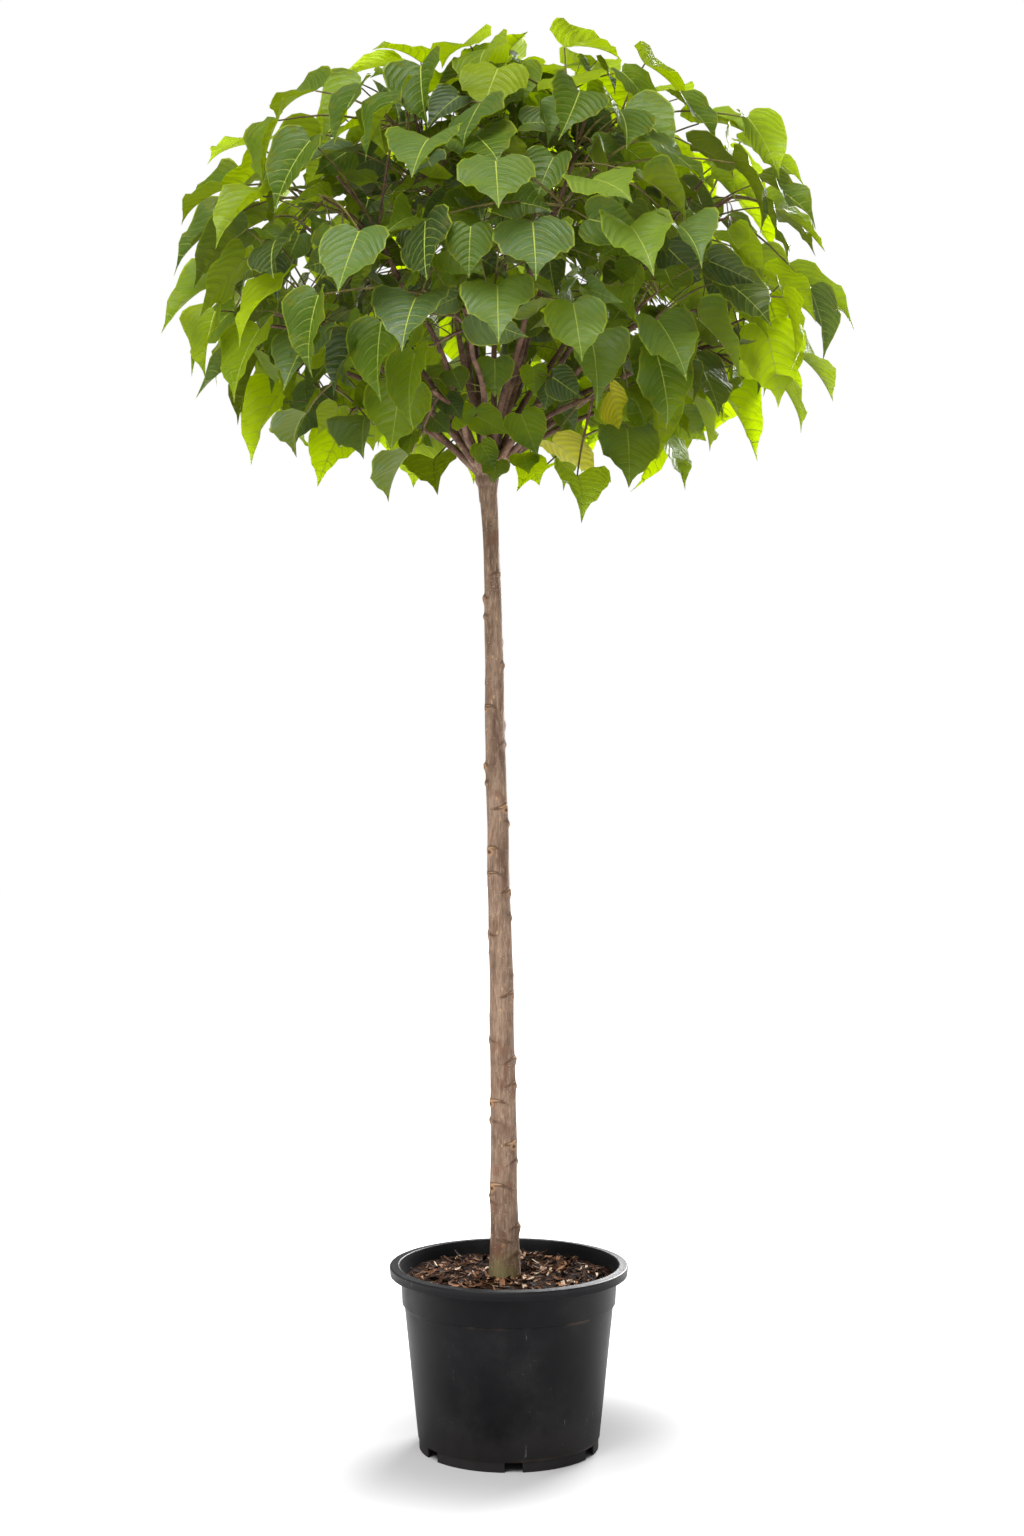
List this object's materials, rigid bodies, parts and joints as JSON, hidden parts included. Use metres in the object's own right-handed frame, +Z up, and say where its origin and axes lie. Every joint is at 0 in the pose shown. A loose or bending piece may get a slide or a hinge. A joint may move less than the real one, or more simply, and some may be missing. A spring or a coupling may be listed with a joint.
{
  "type": "potted catalpa tree",
  "caption": "Grafted standard catalpa with a bare stem and a round head of heart-shaped leaves, standing in a black plastic nursery pot.",
  "frame": {"origin": "on the floor, under the middle of the pot, which is under the middle of the crown", "axes": "+Z up along the trunk, -Y towards the viewer of the picture"},
  "size_m": [0.9753, 0.9517, 1.9557],
  "materials": {
    "pot_plastic": "black polypropylene, satin, scuffed and dusty",
    "bark_soil": "dark composted bark and soil with pale chips",
    "bark": "smooth grey-brown bark with leaf scars",
    "leaves": "satin green leaves with pale veins on thin brown twigs"
  },
  "bodies": {
    "root": {"pot": "pot_plastic", "soil": "bark_soil", "trunk": "bark", "branch_01": "leaves", "branch_02": "leaves", "branch_03": "leaves", "branch_04": "leaves", "branch_05": "leaves", "branch_06": "leaves", "branch_07": "leaves", "branch_08": "leaves", "branch_09": "leaves", "branch_10": "leaves", "branch_11": "leaves", "branch_12": "leaves", "branch_13": "leaves", "branch_14": "leaves", "branch_15": "leaves", "branch_16": "leaves", "branch_17": "leaves", "branch_18": "leaves", "branch_19": "leaves", "branch_20": "leaves", "branch_21": "leaves", "branch_22": "leaves", "branch_23": "leaves", "branch_24": "leaves"}
  },
  "joints": []
}
